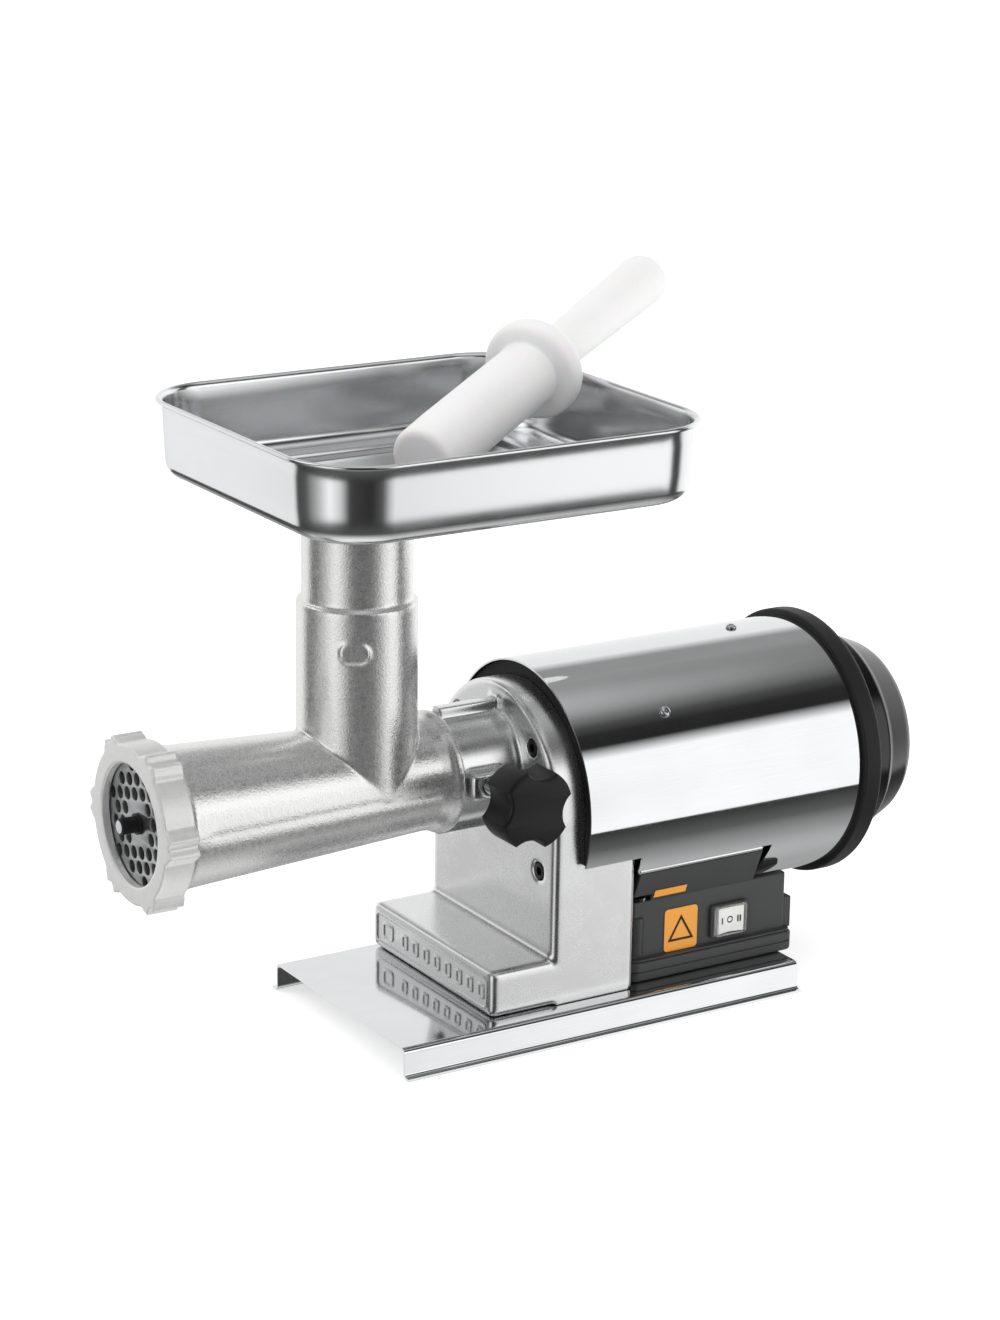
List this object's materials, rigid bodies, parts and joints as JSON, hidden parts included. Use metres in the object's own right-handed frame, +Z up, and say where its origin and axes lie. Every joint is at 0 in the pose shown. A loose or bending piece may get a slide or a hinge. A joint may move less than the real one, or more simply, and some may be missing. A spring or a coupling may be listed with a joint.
{
  "type": "electric meat grinder",
  "caption": "Motor-driven meat grinder with a clamped grinding head, a feed tray on its throat, a pusher, a cast gear case and a sheet steel motor cover on a folded base plate.",
  "frame": {"origin": "on the surface that the base plate stands on, under the middle of the object's box", "axes": "+Z up, -Y the way the grinding head points, +X the side with the clamp knob and the switch"},
  "size_m": [0.2464, 0.5436, 0.4446],
  "materials": {
    "stainless_sheet": "polished stainless steel sheet",
    "cast_aluminium": "satin die-cast aluminium",
    "tinned_iron": "hot-tinned, grainy and bright",
    "steel": "machined steel",
    "blackened_steel": "black oxide",
    "black_plastic": "satin black moulding",
    "gloss_black_plastic": "glossy black moulding",
    "grey_plastic": "dark grey moulding",
    "white_plastic": "white polyethylene",
    "rocker_plastic": "off-white moulding",
    "label_film": "orange label film",
    "winding_copper": "enamelled copper wire",
    "rubber": "black rubber"
  },
  "bodies": {
    "stand": {"base_bolt_1": "steel", "base_bolt_2": "steel", "base_bolt_3": "steel", "base_bolt_4": "steel", "base_plate": "stainless_sheet", "box_label": "label_film", "capacitor": "steel", "case_bolt_1": "blackened_steel", "case_bolt_2": "blackened_steel", "case_bolt_3": "blackened_steel", "case_bolt_4": "blackened_steel", "cover_screw_left": "steel", "cover_screw_right": "steel", "cover_screw_top": "steel", "cover_trim_band": "rubber", "fan_cowl": "gloss_black_plastic", "front_winding": "winding_copper", "gear_case": "cast_aluminium", "lid_screw": "steel", "lip_label": "label_film", "motor_cover": "stainless_sheet", "motor_frame": "blackened_steel", "motor_front_bearing": "steel", "motor_front_shield": "cast_aluminium", "motor_rear_bearing": "steel", "motor_rear_shield": "cast_aluminium", "output_front_bearing": "steel", "output_rear_bearing": "steel", "rear_ring": "black_plastic", "rear_winding": "winding_copper", "shaft_seal": "rubber", "stator_core": "steel", "switch_bezel": "black_plastic", "switch_box_base": "grey_plastic", "switch_box_lid": "grey_plastic", "terminal_block": "white_plastic"},
    "rotor": {"motor_shaft": "steel", "rotor_core": "steel", "cooling_fan": "black_plastic"},
    "idler": {"idler_shaft": "steel", "idler_gear": "steel", "idler_pinion": "steel"},
    "output": {"output_shaft": "steel", "output_gear": "steel"},
    "clamp": {"clamp_screw": "steel", "clamp_knob": "black_plastic"},
    "rocker": {"rocker_switch": "rocker_plastic"},
    "head": {"grinding_head": "tinned_iron", "plate_key": "steel"},
    "feed_worm": {"worm": "tinned_iron", "worm_stud": "blackened_steel", "knife": "steel", "thrust_washer": "steel"},
    "plate": {"cutting_plate": "steel"},
    "nut": {"ring_nut": "tinned_iron"},
    "tray": {"feed_tray": "stainless_sheet"},
    "ram": {"pusher": "white_plastic"}
  },
  "joints": [
    {"name": "head_draw", "type": "slide", "parent": "stand", "child": "head", "axis": [0, -1, 0], "range_m": [0, 0.06]},
    {"name": "worm_spin", "type": "hinge", "parent": "head", "child": "feed_worm", "pos_m": [0, -0.11225, 0.1581], "axis": [0, -1, 0], "continuous": true},
    {"name": "output_spin", "type": "hinge", "parent": "stand", "child": "output", "pos_m": [0, -0.00125, 0.1581], "axis": [0, -1, 0], "continuous": true},
    {"name": "idler_spin", "type": "hinge", "parent": "stand", "child": "idler", "pos_m": [-0.0217, 0.01875, 0.11529], "axis": [0, -1, 0], "continuous": true},
    {"name": "rotor_spin", "type": "hinge", "parent": "stand", "child": "rotor", "pos_m": [0, 0.11375, 0.136], "axis": [0, -1, 0], "continuous": true},
    {"name": "plate_draw", "type": "slide", "parent": "head", "child": "plate", "axis": [0, -1, 0], "range_m": [0, 0.0121]},
    {"name": "ring_nut_turn", "type": "hinge", "parent": "plate", "child": "nut", "pos_m": [0, -0.25525, 0.1581], "axis": [0, -1, 0], "range_deg": [0, 1440]},
    {"name": "tray_lift", "type": "slide", "parent": "head", "child": "tray", "axis": [0, 0, 1], "range_m": [0, 0.06]},
    {"name": "pusher_lift", "type": "slide", "parent": "tray", "child": "ram", "axis": [0, 0, 1], "range_m": [0, 0.12]},
    {"name": "clamp_knob_turn", "type": "hinge", "parent": "stand", "child": "clamp", "pos_m": [0.083, -0.04225, 0.1585], "axis": [1, 0, 0], "range_deg": [0, 720]},
    {"name": "rocker_tilt", "type": "hinge", "parent": "stand", "child": "rocker", "pos_m": [0.0625, 0.12405, 0.0483], "axis": [0, 0, 1], "range_deg": [-10, 10]}
  ],
  "couplings": [
    {"joint": "idler_spin", "follows": "rotor_spin", "ratio": -0.33333},
    {"joint": "output_spin", "follows": "rotor_spin", "ratio": 0.11111},
    {"joint": "worm_spin", "follows": "rotor_spin", "ratio": 0.11111},
    {"joint": "plate_draw", "follows": "ring_nut_turn", "m_per_rad": 0.00047746}
  ]
}
